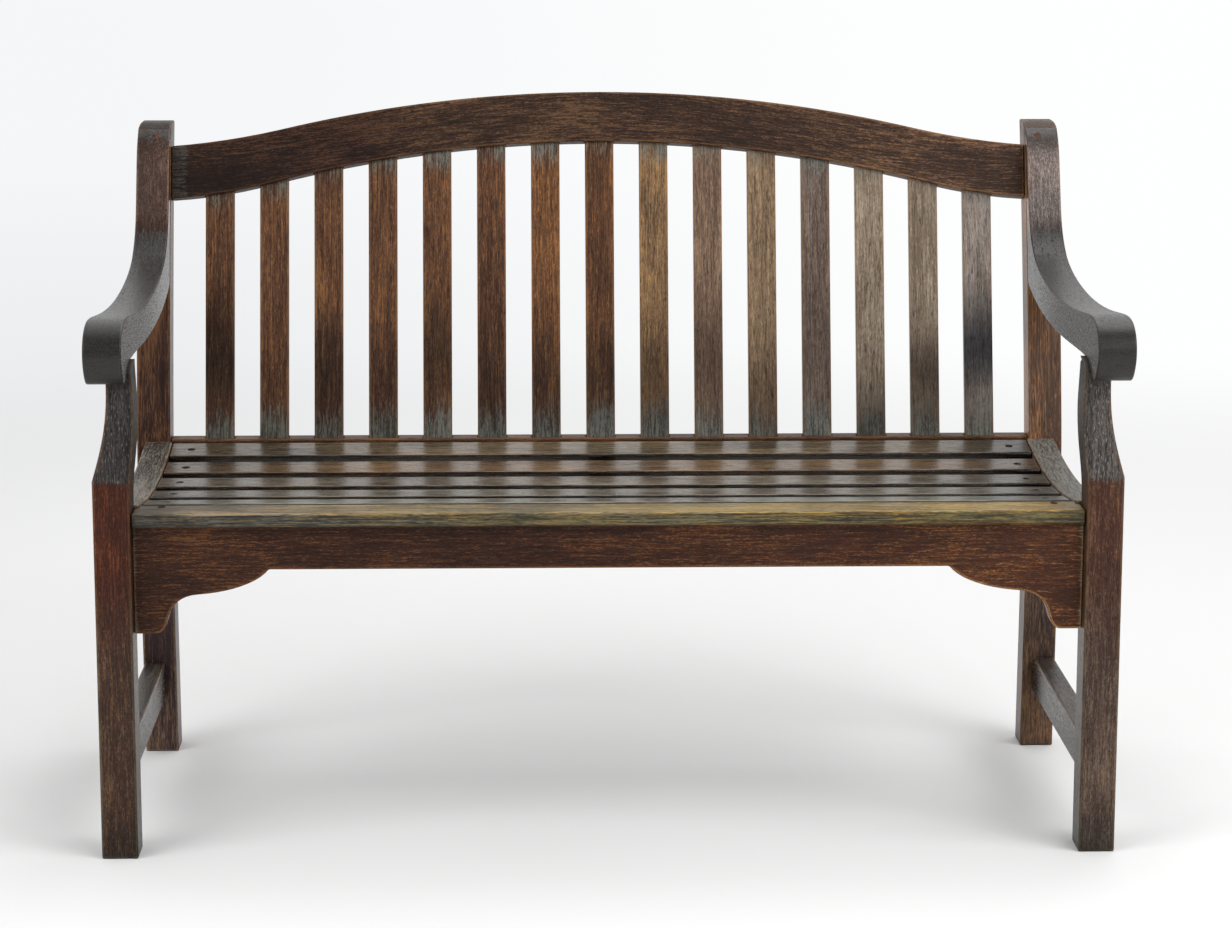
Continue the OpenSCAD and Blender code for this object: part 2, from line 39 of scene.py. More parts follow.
# Places taken from the frame
front_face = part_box("front_leg_left")[0][1]
post_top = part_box("rear_leg_left")[1][2]
tail_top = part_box("arm_left")[1][2]
leg_low, leg_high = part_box("front_leg_right")
leg_in = leg_low[0] + LEG_BULGE
post_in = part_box("rear_leg_right")[0][0]
plug_low, plug_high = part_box("arm_plugs")
seat_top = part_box("seat_nosing")[1][2]
shoulder = seat_top + SHOULDER_RISE
arm_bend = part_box("arm_left")[0][2] + SWEEP_RISE


# ---- Node trees ----

class Tree:
    """Adds nodes to a tree: an input is a socket, or a value for the socket itself."""

    def __init__(self, tree):
        self.tree = tree

    def put(self, value, socket):
        if isinstance(value, bpy.types.NodeSocket):
            self.tree.links.new(value, socket)
        elif value is not None:
            socket.default_value = value

    def add(self, kind, inputs=None, **settings):
        node = self.tree.nodes.new(kind)
        for key, value in settings.items():
            setattr(node, key, value)
        for key, value in (inputs or {}).items():
            self.put(value, node.inputs[key])
        return node

    def math(self, op, a, b=None, c=None, clamp=False):
        node = self.add("ShaderNodeMath", operation=op, use_clamp=clamp)
        for i, value in enumerate((a, b, c)):
            self.put(value, node.inputs[i])
        return node.outputs[0]

    def vector(self, op, a, b=None):
        node = self.add("ShaderNodeVectorMath", operation=op)
        self.put(a, node.inputs[0])
        self.put(b, node.inputs[1])
        return node.outputs["Value" if op == "LENGTH" else "Vector"]

    def split(self, vector):
        return self.add("ShaderNodeSeparateXYZ", {0: vector}).outputs

    def join(self, x, y, z):
        return self.add("ShaderNodeCombineXYZ", {0: x, 1: y, 2: z}).outputs[0]

    def noise(self, vector, scale, detail=3.0, rough=0.55):
        """Noise at so many cycles a metre along each of the three coordinates."""
        scaled = self.vector("MULTIPLY", vector, scale)
        node = self.add("ShaderNodeTexNoise", {"Vector": scaled, "Scale": 1.0, "Detail": detail, "Roughness": rough})
        return node.outputs["Fac"]

    def span(self, value, low, high, out_low=0.0, out_high=1.0):
        """Remaps low..high smoothly to out_low..out_high and holds the ends."""
        node = self.add("ShaderNodeMapRange", {"Value": value, "From Min": low, "From Max": high,
                                               "To Min": out_low, "To Max": out_high},
                        interpolation_type="SMOOTHSTEP")
        return node.outputs[0]

    def mix(self, factor, a, b, blend="MIX"):
        node = self.add("ShaderNodeMix", data_type="RGBA", blend_type=blend)
        node.clamp_factor = True
        for value, name in ((factor, "Factor_Float"), (a, "A_Color"), (b, "B_Color")):
            self.put(value, next(s for s in node.inputs if s.identifier == name))
        return next(s for s in node.outputs if s.identifier == "Result_Color")


def rgb(r, g, b):
    return (r, g, b, 1.0)


def even(level):
    return rgb(level, level, level)


def new_material(name):
    """An empty node material, with its tree."""
    material = bpy.data.materials.new(name)
    material.use_nodes = True
    material.node_tree.nodes.clear()
    return material, Tree(material.node_tree)


# ---- Wood ----

BLACK = even(0.0)
DUST = rgb(0.27, 0.265, 0.26)
BARE = rgb(0.34, 0.165, 0.065)
# Near black: the dark of pores, and of the painted shade in hollows
PORE_AND_SHADE = rgb(0.006, 0.005, 0.004)
# In metres: how tall the grain is, how deep the wear goes into an arris, how near a hollow's walls stand for its grime
# and painted shade
RELIEF = 0.0006
ARRIS_REACH = 0.0045
HOLLOW_REACH = 0.022
REACH_SAMPLES = 6
# The most that wear, or dark pores with grime and painted shade, may cover, and how far apart two finishes lie in the
# noise
MOST = 0.92
SEED_STEP = (0.731, 0.417, 1.933)


def make_wood_group():
    """Colour, roughness and height of oiled, weathered hardwood, whose grain runs along the third coordinate."""
    group = bpy.data.node_groups.new("hardwood", "ShaderNodeTree")
    face = group.interface
    for kind, names in (("Vector", ("Grain", "Seed")), ("Color", ("Dark", "Mid", "Light", "Grey")),
                        ("Float", ("Flecks", "Specks", "Stretch", "Blotches", "Fine", "Greying", "Worn", "GrimeAndShade",
                                   "Gloss"))):
        for name in names:
            face.new_socket(name, in_out="INPUT", socket_type="NodeSocket" + kind)
    for kind, names in (("Color", ("Color",)), ("Float", ("Roughness", "Height"))):
        for name in names:
            face.new_socket(name, in_out="OUTPUT", socket_type="NodeSocket" + kind)
    t = Tree(group)
    i = t.add("NodeGroupInput").outputs
    grain = t.vector("ADD", i["Grain"], i["Seed"])
    # The grain wanders a few millimetres from straight
    wander = t.add("ShaderNodeTexNoise", {"Vector": t.vector("MULTIPLY", grain, (9.0, 9.0, 2.4)),
                                          "Scale": 1.0, "Detail": 2.0}).outputs["Color"]
    wander = t.vector("MULTIPLY", t.vector("SUBTRACT", wander, (0.5, 0.5, 0.5)), (0.016, 0.016, 0.0))
    bent = t.vector("ADD", grain, wander)
    # A greater stretch makes the board's lines shorter
    bent = t.vector("MULTIPLY", bent, t.join(1.0, 1.0, i["Stretch"]))
    # From the broadest to the finest
    smoke = t.noise(grain, (13.0, 13.0, 6.0), 2.0, 0.5)
    cloud = t.noise(bent, (46.0, 46.0, 12.0), 3.0, 0.6)
    streak = t.noise(bent, (170.0, 170.0, 9.0), 3.0, 0.6)
    fibre = t.noise(bent, (450.0, 450.0, 19.0), 3.0, 0.7)
    fleck = t.noise(bent, (580.0, 580.0, 105.0), 1.0, 0.5)
    grit = t.noise(bent, (1000.0, 1000.0, 280.0), 1.0, 0.5)
    pore = t.span(t.noise(bent, (760.0, 760.0, 90.0), 1.0, 0.5), 0.60, 0.66)
    speck = t.span(t.noise(grain, (720.0, 720.0, 150.0), 0.0), 0.62, 0.74)

    def weigh(*shares):
        """Noises added up about their middle, each with its own share."""
        total = 0.5
        for noise, share in shares:
            total = t.math("MULTIPLY_ADD", t.math("SUBTRACT", noise, 0.5), share, total)
        return total

    slow = t.math("MULTIPLY", t.math("SUBTRACT", smoke, 0.5), t.math("MULTIPLY", i["Blotches"], 1.3))
    fine = weigh((fibre, 1.15), (fleck, 0.45), (grit, 0.55))
    fine = t.math("MULTIPLY", t.math("SUBTRACT", fine, 0.5), i["Fine"])
    tone = t.math("ADD", t.math("ADD", slow, fine), weigh((cloud, 0.45), (streak, 0.45)))
    color = t.mix(t.span(tone, 0.28, 0.52), i["Dark"], i["Mid"])
    color = t.mix(t.math("MULTIPLY", t.span(tone, 0.52, 0.84), 0.8), color, i["Light"])
    dash = t.math("MULTIPLY_ADD", slow, 0.35, weigh((fleck, 0.50), (grit, 0.40), (fibre, 0.60), (cloud, 0.20)))
    color = t.mix(t.math("MULTIPLY", t.span(dash, 0.575, 0.66), i["Flecks"]), color, i["Light"])
    # Grey-green weathering with its own bleached fibres
    fine = t.math("MULTIPLY_ADD", t.math("SUBTRACT", streak, 0.5), 0.5, fine)
    bleached = t.mix(t.span(fine, -0.12, 0.14), t.mix(0.62, i["Grey"], BLACK), i["Grey"])
    broken = weigh((smoke, 0.7), (cloud, 0.8), (fibre, 0.7), (fleck, 0.7))
    broken = t.math("ADD", t.math("SUBTRACT", broken, 0.5), i["Greying"])
    greying = t.math("MULTIPLY", t.span(broken, 0.25, 0.80), t.span(i["Greying"], 0.0, 0.12))
    color = t.mix(greying, color, bleached)
    specks = t.math("MULTIPLY", i["Specks"], t.math("MULTIPLY_ADD", greying, 0.85, 0.15))
    color = t.mix(t.math("MULTIPLY", speck, specks), color, DUST)
    # Worn arrises show lighter wood, broken up along the edge
    worn = t.math("MULTIPLY", i["Worn"], t.span(t.noise(grain, (60.0, 60.0, 26.0), 4.0, 0.65), 0.30, 0.50))
    color = t.mix(t.math("MINIMUM", worn, MOST), color, BARE)
    # Pores are dark, and rougher; hollows are darkened and roughened too, partly grime and partly painted shade
    dark = t.math("ADD", t.math("MULTIPLY", pore, 0.50), i["GrimeAndShade"])
    color = t.mix(t.math("MINIMUM", dark, MOST), color, PORE_AND_SHADE)
    rough = t.math("ADD", i["Gloss"], t.math("MULTIPLY", t.math("SUBTRACT", fleck, 0.5), 0.24))
    rough = t.math("ADD", rough, t.math("MULTIPLY", greying, 0.10))
    rough = t.math("ADD", rough, t.math("MULTIPLY", t.math("ADD", pore, i["GrimeAndShade"]), 0.20), clamp=True)
    height = weigh((fibre, 0.55), (fleck, 0.45), (grit, 0.25), (streak, 0.35), (cloud, 0.5))
    height = t.math("SUBTRACT", height, t.math("MULTIPLY", pore, 0.40))
    out = t.add("NodeGroupOutput").inputs
    t.put(color, out["Color"])
    t.put(rough, out["Roughness"])
    t.put(height, out["Height"])
    return group


WOOD = make_wood_group()


def grain_frame(t, kind):
    """The place on the object, and the grain's own coordinates there, in metres: along the grain comes third."""
    place = t.add("ShaderNodeTexCoord").outputs["Object"]
    x, y, z = t.split(place)[:3]
    if kind == "up":
        return place, t.join(x, y, z)
    if kind == "across":
        return place, t.join(y, z, x)
    if kind == "back_to_front":
        return place, t.join(x, z, y)
    if kind == "post":
        # Upright below the seat, leaning above it
        above = t.math("MAXIMUM", t.math("SUBTRACT", z, seat_top - 0.003), 0.0)
        return place, t.join(x, t.math("MULTIPLY_ADD", above, -math.tan(BACK_LEAN), y), z)
    lean_sin, lean_cos = math.sin(BACK_LEAN), math.cos(BACK_LEAN)
    up = t.math("ADD", t.math("MULTIPLY", z, lean_cos), t.math("MULTIPLY", y, lean_sin))
    out = t.math("SUBTRACT", t.math("MULTIPLY", y, lean_cos), t.math("MULTIPLY", z, lean_sin))
    if kind == "slat":
        return place, t.join(x, out, up)
    if kind == "crest":
        # The grain falls towards the ends, as the arch does
        drop = t.math("COSINE", t.math("MULTIPLY", x, math.pi / post_in))
        drop = t.math("MULTIPLY", t.math("SUBTRACT", 1.0, drop), ARCH_FALL / 2)
        return place, t.join(out, t.math("ADD", up, drop), x)
    # An arm: straight back, round the sweep, then up the post
    mid_y, mid_z = front_face + SWEEP_BACK, post_top - SWEEP_DROP
    dy = t.math("SUBTRACT", y, mid_y)
    dz = t.math("SUBTRACT", mid_z, z)
    # Never both 0, for the angle's sake
    cy, cz = t.math("MAXIMUM", dy, 0.0), t.math("MAXIMUM", dz, 0.0001)
    radius = t.math("SQRT", t.math("ADD", t.math("MULTIPLY", cy, cy), t.math("MULTIPLY", cz, cz)))
    along = t.math("MULTIPLY", t.math("ARCTAN2", cy, cz), SWEEP_RADIUS)
    back = t.math("ADD", t.math("MINIMUM", dy, 0.0), t.math("MAXIMUM", t.math("MULTIPLY", dz, -1.0), 0.0))
    return place, t.join(x, radius, t.math("ADD", along, back))


class Spot:
    """Where a shader point lies: its place in metres, and the sideways and upward parts of the face's normal."""

    def __init__(self, t, place, normal):
        self.x, self.y, self.z = t.split(place)[:3]
        self.nx, _, self.nz = t.split(normal)[:3]


def band(t, value, full, none):
    """1 at full and beyond, falling to 0 at none."""
    return t.span(value, none, full)


def wood(name, kind, seed, dark, mid, light, grey, gloss=0.50, flecks=0.8, specks=0.1, stretch=1.0, blotches=1.0,
         fine=1.0, greying=0.0, worn=0.9, bump=0.5, shine=0.18, polish=0.12, ends=None, stain=None, wear=None):
    """A wood material. Its side faces are smoother by polish. ends(t, spot) adds to the greying mask,
    wear(t, spot) scales the worn arrises, and stain(t, spot) gives pairs of a mask and a colour that
    multiplies what lies below."""
    material, t = new_material(name)
    place, grain = grain_frame(t, kind)
    normal = t.add("ShaderNodeNewGeometry").outputs["Normal"]
    spot = Spot(t, place, normal)
    inner = t.add("ShaderNodeAmbientOcclusion", {"Distance": ARRIS_REACH}, samples=REACH_SAMPLES, inside=True,
                  only_local=True)
    arris = t.math("MULTIPLY", t.span(inner.outputs["AO"], 0.78, 0.62), worn)
    if wear:
        arris = t.math("MULTIPLY", arris, wear(t, spot))
    # Hollows close to other faces: partly grime, partly painted shade where light is cut off
    hollow = t.add("ShaderNodeAmbientOcclusion", {"Distance": HOLLOW_REACH}, samples=REACH_SAMPLES).outputs["AO"]
    grime_and_shade = t.span(hollow, 0.62, 0.18, 0.0, 0.75)
    mask = t.math("ADD", greying, ends(t, spot)) if ends else greying
    planed = t.span(t.math("ABSOLUTE", spot.nx), 0.70, 0.95)
    gloss = t.math("MULTIPLY_ADD", planed, -polish, gloss)
    parts = t.add("ShaderNodeGroup", node_tree=WOOD)
    for key, value in (("Grain", grain), ("Seed", tuple(seed * step for step in SEED_STEP)),
                       ("Dark", dark), ("Mid", mid), ("Light", light), ("Grey", grey), ("Flecks", flecks),
                       ("Specks", specks), ("Stretch", stretch), ("Blotches", blotches), ("Fine", fine),
                       ("Greying", mask), ("Worn", arris), ("GrimeAndShade", grime_and_shade), ("Gloss", gloss)):
        t.put(value, parts.inputs[key])
    color = parts.outputs["Color"]
    if stain:
        for share, tone in stain(t, spot):
            color = t.mix(share, color, tone, "MULTIPLY")
    strength = t.math("MULTIPLY_ADD", planed, -0.6 * bump, bump)
    relief = t.add("ShaderNodeBump", {"Strength": strength, "Distance": RELIEF, "Height": parts.outputs["Height"]})
    shader = t.add("ShaderNodeBsdfPrincipled", {"Base Color": color, "Roughness": parts.outputs["Roughness"],
                                                "Normal": relief.outputs[0]})
    shader.inputs["Specular IOR Level"].default_value = shine
    t.add("ShaderNodeOutputMaterial", {"Surface": shader.outputs[0]})
    return material


def steel():
    """Stainless screws, seen only in their bores."""
    material, t = new_material("screw_steel")
    place = t.add("ShaderNodeTexCoord").outputs["Object"]
    stain = t.noise(place, (900.0, 900.0, 900.0), 3.0, 0.6)
    color = t.mix(t.span(stain, 0.42, 0.62), rgb(0.36, 0.35, 0.33), rgb(0.10, 0.06, 0.04))
    relief = t.add("ShaderNodeBump", {"Strength": 0.3, "Distance": 0.0002, "Height": stain})
    shader = t.add("ShaderNodeBsdfPrincipled", {"Base Color": color, "Roughness": t.span(stain, 0.3, 0.7, 0.3, 0.6),
                                                "Normal": relief.outputs[0]})
    shader.inputs["Metallic"].default_value = 1.0
    t.add("ShaderNodeOutputMaterial", {"Surface": shader.outputs[0]})
    return material


# ---- Eased edges on the CAD nodes ----

FLAT = math.radians(0.6)
EASED = math.radians(32)
SHARP = math.radians(35)


def new_geometry_group(name):
    """A group from geometry to geometry: the group, its tree, and where it starts and ends."""
    group = bpy.data.node_groups.new(name, "GeometryNodeTree")
    for way in ("INPUT", "OUTPUT"):
        group.interface.new_socket("Geometry", in_out=way, socket_type="NodeSocketGeometry")
    t = Tree(group)
    return group, t, t.add("NodeGroupInput").outputs[0], t.add("NodeGroupOutput").inputs[0]


def make_smooth_group():
    """Smooth faces, with only the sharp edges kept."""
    group, t, start, end = new_geometry_group("smooth_by_angle")
    faces = t.add("GeometryNodeSetShadeSmooth", {"Geometry": start, "Shade Smooth": True}, domain="FACE")
    angle = t.add("GeometryNodeInputMeshEdgeAngle").outputs[0]
    sharp = t.add("FunctionNodeCompare", {0: angle, 1: SHARP}, operation="GREATER_THAN", data_type="FLOAT")
    edges = t.add("GeometryNodeSetShadeSmooth", {"Geometry": faces.outputs[0], "Selection": sharp.outputs[0],
                                                 "Shade Smooth": False}, domain="EDGE")
    t.put(edges.outputs[0], end)
    return group


SMOOTH = make_smooth_group()


def make_edge_group(name, spared):
    """Gives the bevel its edges, less those where spared(t, middle, run) is 1."""
    group, t, start, end = new_geometry_group(name)
    angle = t.add("GeometryNodeInputMeshEdgeAngle").outputs[0]
    weight = t.math("GREATER_THAN", angle, EASED)
    ends = t.add("GeometryNodeInputMeshEdgeVertices").outputs
    first, last = ends["Position 1"], ends["Position 2"]
    middle = t.split(t.vector("MULTIPLY", t.vector("ADD", first, last), (0.5, 0.5, 0.5)))
    run = t.split(t.vector("ABSOLUTE", t.vector("SUBTRACT", first, last)))
    weight = t.math("MULTIPLY", weight, t.math("SUBTRACT", 1.0, spared(t, middle, run), clamp=True))
    stored = t.add("GeometryNodeStoreNamedAttribute", {"Geometry": start, "Name": "bevel_weight_edge",
                                                       "Value": weight}, data_type="FLOAT", domain="EDGE")
    t.put(stored.outputs[0], end)
    return group


def over(t, value, limit):
    return t.math("GREATER_THAN", value, limit)


def spare_seam(t, middle, run):
    """The seam between a post and the arm's tail, across the rolled top."""
    return t.math("MULTIPLY", over(t, middle[2], tail_top - 0.010), over(t, run[0], 0.012))


def spare_arm(t, middle, run):
    """The seam, and the rim of the plug's hole."""
    radius = (plug_high[2] - plug_low[2]) / 2
    dx = t.math("SUBTRACT", t.math("ABSOLUTE", middle[0]), plug_high[0] - radius)
    dz = t.math("SUBTRACT", middle[2], plug_high[2] - radius)
    away = t.math("SQRT", t.math("ADD", t.math("MULTIPLY", dx, dx), t.math("MULTIPLY", dz, dz)))
    rim = t.math("LESS_THAN", away, radius + 0.0012)
    return t.math("MAXIMUM", rim, spare_seam(t, middle, run))


def spare_leg_top(t, middle, run):
    """The shoulders of a front leg's tenon, close under the arm."""
    return over(t, middle[2], leg_high[2] - 0.028)


SEAM_EDGES = make_edge_group("edges_of_a_post", spare_seam)
ARM_EDGES = make_edge_group("edges_of_an_arm", spare_arm)
LEG_EDGES = make_edge_group("edges_of_a_front_leg", spare_leg_top)


def ease(node, width, edges):
    """Welds the CAD faces together and rounds the arrises, or only the group's edges; the CAD mesh stays."""
    weld = node.modifiers.new("weld", "WELD")
    weld.merge_threshold = 0.00002  # metres
    plane = node.modifiers.new("plane", "DECIMATE")
    plane.decimate_type = "DISSOLVE"
    plane.angle_limit = FLAT
    if edges:
        chosen = node.modifiers.new("chosen", "NODES")
        chosen.node_group = edges
    bevel = node.modifiers.new("ease", "BEVEL")
    bevel.width = width
    bevel.segments = 3
    bevel.limit_method = "WEIGHT" if edges else "ANGLE"
    bevel.angle_limit = EASED
    bevel.use_clamp_overlap = False
    smooth = node.modifiers.new("smooth", "NODES")
    smooth.node_group = SMOOTH
    weigh = node.modifiers.new("weigh", "WEIGHTED_NORMAL")
    weigh.keep_sharp = True


def paint(node, material):
    mesh = nodes[node].data
    mesh.materials.clear()
    mesh.materials.append(material)


# ---- Finishes, member by member ----

def tones(*shades):
    """The dark, mid and light colours of one member's wood."""
    return {name: rgb(*shade) for name, shade in zip(("dark", "mid", "light"), shades)}


RED = tones((0.045, 0.017, 0.008), (0.092, 0.04, 0.019), (0.23, 0.098, 0.032))
AMBER = tones((0.056, 0.022, 0.01), (0.11, 0.047, 0.02), (0.28, 0.116, 0.034))
GOLD = tones((0.1, 0.056, 0.028), (0.195, 0.113, 0.055), (0.38, 0.215, 0.08))
OCHRE = tones((0.095, 0.057, 0.038), (0.165, 0.103, 0.068), (0.3, 0.195, 0.12))
HONEY = tones((0.112, 0.07, 0.04), (0.2, 0.132, 0.078), (0.35, 0.245, 0.14))
DUN = tones((0.068, 0.044, 0.034), (0.118, 0.083, 0.063), (0.21, 0.16, 0.125))
TAN = tones((0.135, 0.098, 0.066), (0.232, 0.18, 0.13), (0.38, 0.31, 0.225))
ASHEN = tones((0.14, 0.112, 0.094), (0.235, 0.193, 0.165), (0.36, 0.31, 0.27))
BROWN = tones((0.032, 0.0135, 0.007), (0.076, 0.033, 0.0175), (0.185, 0.08, 0.03))
LEG = tones((0.036, 0.0085, 0.003), (0.066, 0.016, 0.006), (0.155, 0.044, 0.013))
LEG_RIGHT = tones((0.045, 0.016, 0.008), (0.076, 0.033, 0.019), (0.165, 0.075, 0.036))
APRON = tones((0.018, 0.0055, 0.0025), (0.038, 0.012, 0.005), (0.125, 0.048, 0.015))
CREST = tones((0.021, 0.01, 0.006), (0.048, 0.023, 0.013), (0.14, 0.07, 0.033))
POST = tones((0.021, 0.0084, 0.006), (0.042, 0.017, 0.0105), (0.125, 0.055, 0.022))
POST_RIGHT = tones((0.072, 0.04, 0.026), (0.154, 0.078, 0.041), (0.39, 0.172, 0.055))
SMOKE = tones((0.014, 0.011, 0.01), (0.042, 0.03, 0.025), (0.11, 0.07, 0.045))
RAIL = tones((0.036, 0.03, 0.025), (0.115, 0.098, 0.08), (0.26, 0.21, 0.15))
SEAT = tones((0.034, 0.024, 0.016), (0.105, 0.076, 0.048), (0.22, 0.165, 0.105))
OLIVE = tones((0.075, 0.056, 0.024), (0.16, 0.125, 0.052), (0.37, 0.27, 0.098))
ARM = tones((0.048, 0.026, 0.018), (0.078, 0.042, 0.029), (0.15, 0.08, 0.05))
# The right arm: lighter and greyer than the left, partly its own weathered grey and partly painted sheen
ARM_RIGHT_WITH_SHEEN = tones((0.08, 0.06, 0.052), (0.145, 0.115, 0.102), (0.25, 0.205, 0.185))
GREY = rgb(0.120, 0.118, 0.096)
PALE = rgb(0.155, 0.153, 0.130)
SLATE = rgb(0.050, 0.043, 0.040)
ASH = rgb(0.150, 0.136, 0.126)

# Each finish has its own stretch of the grain
seeds = itertools.count(2)


def finish_node(node, kind, shades, width=0.002, edges=None, **more):
    """Gives a CAD node its wood, with arrises rounded to a width."""
    more.setdefault("grey", GREY)
    paint(node, wood(node + "_wood", kind, next(seeds), **shades, **more))
    ease(nodes[node], width, edges)


def slat_ends(low, high):
    """Greyed at the foot, and less at the head."""
    def ends(t, spot):
        foot = band(t, spot.z, low + 0.012, low + 0.100)
        head = band(t, spot.z, high - 0.018, high - 0.062)
        return t.math("ADD", t.math("MULTIPLY", foot, 0.80), t.math("MULTIPLY", head, 0.50))
    return ends


def slat_sheen(low, high, sheen_dip, share, tint):
    """Painted reflection: darker round a share of its height, where the slat's sheen falls off, and lighter towards the
    top.
    """
    centre = low + (high - low) * share

    def stain(t, spot):
        away = t.math("ABSOLUTE", t.math("SUBTRACT", spot.z, centre))
        # Painted shade below the sheen, and painted sheen towards the top
        dark = t.math("MULTIPLY", t.span(away, 0.115, 0.0), sheen_dip)
        return (dark, tint), (t.span(spot.z, centre, high), even(1.12))
    return stain


# Each back slat's tones, from the left, lighter to the right partly in the wood and partly as painted sheen; and its
# painted darker band below the sheen: how much, and at what share of its height
boards = [(RED, 0.84, 0.34), (RED, 0.05, 0.25), (RED, 0.64, 0.25), (RED, 0.35, 0.20), (RED, 0.78, 0.32),
          (RED, 0.55, 0.20), (AMBER, 0.60, 0.20), (AMBER, 0.70, 0.22), (GOLD, 0.75, 0.20), (OCHRE, 0.62, 0.27),
          (HONEY, 0.62, 0.18), (DUN, 0.30, 0.30), (TAN, 0.65, 0.15), (TAN, 0.92, 0.27), (ASHEN, 1.00, 0.38)]
for number, (shades, sheen_dip, share) in enumerate(boards, 1):
    node = f"back_slat_{number:02d}"
    low, high = (corner[2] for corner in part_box(node))
    warm = 9 <= number <= 14
    finish_node(node, "slat", shades, 0.0012, grey=GREY if number < 5 else PALE, gloss=0.50, flecks=0.45,
                stretch=0.85, blotches=0.4, fine=1.1, greying=0.03, ends=slat_ends(low, high),
                stain=slat_sheen(low, high, sheen_dip, share, rgb(0.25, 0.215, 0.20) if warm else rgb(0.19, 0.22, 0.27)))


def leg_ends(t, spot):
    """Bleached above the shoulder."""
    return t.math("MULTIPLY", band(t, spot.z, shoulder + 0.006, shoulder - 0.012), 0.95)


def leg_stain(t, spot):
    """Dusty below, and blackened at the foot; painted shade just under the arm, and a painted grey-green shadow line on
    the inner face beside the seat.
    """
    wet = t.span(spot.z, 0.010, 0.085, 0.65, 0.0)
    dusty = t.span(spot.z, 0.380, 0.220)
    # Painted grey-green shadow line on the inner face, beside the seat
    inner = t.span(t.math("ABSOLUTE", spot.x), leg_in + 0.006, leg_in + 0.001)
    # Painted shade just under the arm
    under = t.span(spot.z, leg_high[2] - 0.060, leg_high[2] - 0.030)
    right = t.math("GREATER_THAN", spot.x, 0.0)
    tint = t.mix(right, rgb(0.95, 1.85, 2.8), rgb(1.0, 1.45, 1.85))
    return ((dusty, tint), (wet, rgb(0.30, 0.40, 0.46)), (under, even(0.5)),
            (t.math("MULTIPLY", inner, 0.45), rgb(0.30, 0.36, 0.36)))


def rear_stain(t, spot):
    """Below the seat the right leg is duller, and the left one dusty."""
    low = t.span(spot.z, 0.420, 0.320)
    return ((t.math("MULTIPLY", low, t.span(spot.x, -0.1, 0.1)), rgb(0.52, 0.62, 0.85)),
            (t.math("MULTIPLY", low, t.span(spot.x, 0.1, -0.1)), rgb(1.5, 2.1, 3.0)))


def apron_stain(t, spot):
    """Lighter towards the right."""
    return ((t.span(spot.x, -0.02, 0.30), rgb(1.55, 1.62, 1.58)), (t.span(spot.x, 0.38, 0.54), rgb(1.45, 1.50, 1.45)))


def crown(t, spot, share):
    """Greyed at the very top of a post, as rain leaves it."""
    return t.math("MULTIPLY", band(t, spot.z, post_top - 0.004, post_top - 0.040), share)


def post_ends(t, spot):
    return crown(t, spot, 0.55)


def arm_ends(t, spot):
    """The tail keeps its brown; its very top and all in front of it are grey."""
    sweep = band(t, spot.z, arm_bend, arm_bend + 0.030)
    return t.math("MAXIMUM", crown(t, spot, 0.60), t.math("MULTIPLY", sweep, 0.95))


def arm_stain(t, spot):
    """Hands have blackened the sweep and the nose, and rain the top of the tail; a painted highlight lightens the
    middle of the right tail.
    """
    top = band(t, spot.z, post_top - 0.010, post_top - 0.045)
    sweep = band(t, spot.z, arm_bend + 0.002, arm_bend + 0.045)
    nose = band(t, spot.y, front_face - 0.005, front_face + 0.050)
    # Painted highlight: the middle of the right tail is made lighter
    tail_highlight = t.span(t.math("ABSOLUTE", t.math("SUBTRACT", spot.z, tail_top - 0.055)), 0.050, 0.005)
    tail_highlight = t.math("MULTIPLY", tail_highlight, t.math("GREATER_THAN", spot.x, 0.0))
    return ((t.math("MULTIPLY", top, 0.80), even(0.25)), (sweep, rgb(0.19, 0.175, 0.17)),
            (nose, rgb(0.72, 0.75, 0.75)), (tail_highlight, rgb(1.45, 1.40, 1.38)))


def arm_wear(t, spot):
    """The seam across the rolled top is no worn arris."""
    return t.span(spot.z, tail_top - 0.012, tail_top - 0.022)


def slat_stain(tint):
    """The seat slats' edges get a painted shade, nearly black; tint sets each slat's tone."""
    def stain(t, spot):
        # Painted shade on the faces that don't look up
        side = t.span(spot.nz, 0.90, 0.60)
        far = t.span(t.math("ABSOLUTE", spot.x), 0.43, 0.57)
        return ((t.math("MULTIPLY", side, 0.94), rgb(0.08, 0.07, 0.06)), (1.0, tint), (far, rgb(0.60, 0.62, 0.66)),
                (t.span(spot.x, 0.45, 0.57), rgb(0.60, 0.60, 0.62)))
    return stain


def nosing_stain(t, spot):
    """Yellow and orange streaks along the top, a dull front, and dark ends."""
    front = t.span(spot.nz, 0.80, 0.45)
    far = t.span(t.math("ABSOLUTE", spot.x), 0.50, 0.585)
    place = t.join(spot.x, spot.y, spot.z)
    warm = t.span(t.noise(place, (13.0, 330.0, 330.0), 3.0, 0.6), 0.50, 0.60)
    cold = t.span(t.noise(place, (11.0, 270.0, 240.0), 3.0, 0.6), 0.53, 0.63)
    right = t.span(spot.x, 0.10, 0.34)
    left = t.span(spot.x, -0.15, -0.45)
    return ((t.math("MULTIPLY", warm, 0.8), rgb(1.38, 1.05, 0.55)),
            (t.math("MULTIPLY", cold, 0.8), rgb(0.48, 0.58, 0.75)),
            (right, rgb(1.35, 1.25, 0.95)), (left, rgb(0.88, 0.92, 1.35)),
            (front, rgb(0.42, 0.47, 0.60)), (t.math("MULTIPLY", far, 0.6), rgb(0.42, 0.46, 0.50)))


def apron_ends(t, spot):
    """Grey-green where it meets the legs: partly weathering, partly a painted shadow line along the joint."""
    return t.math("MULTIPLY", band(t, t.math("ABSOLUTE", spot.x), leg_in - 0.001, leg_in - 0.010), 0.5)


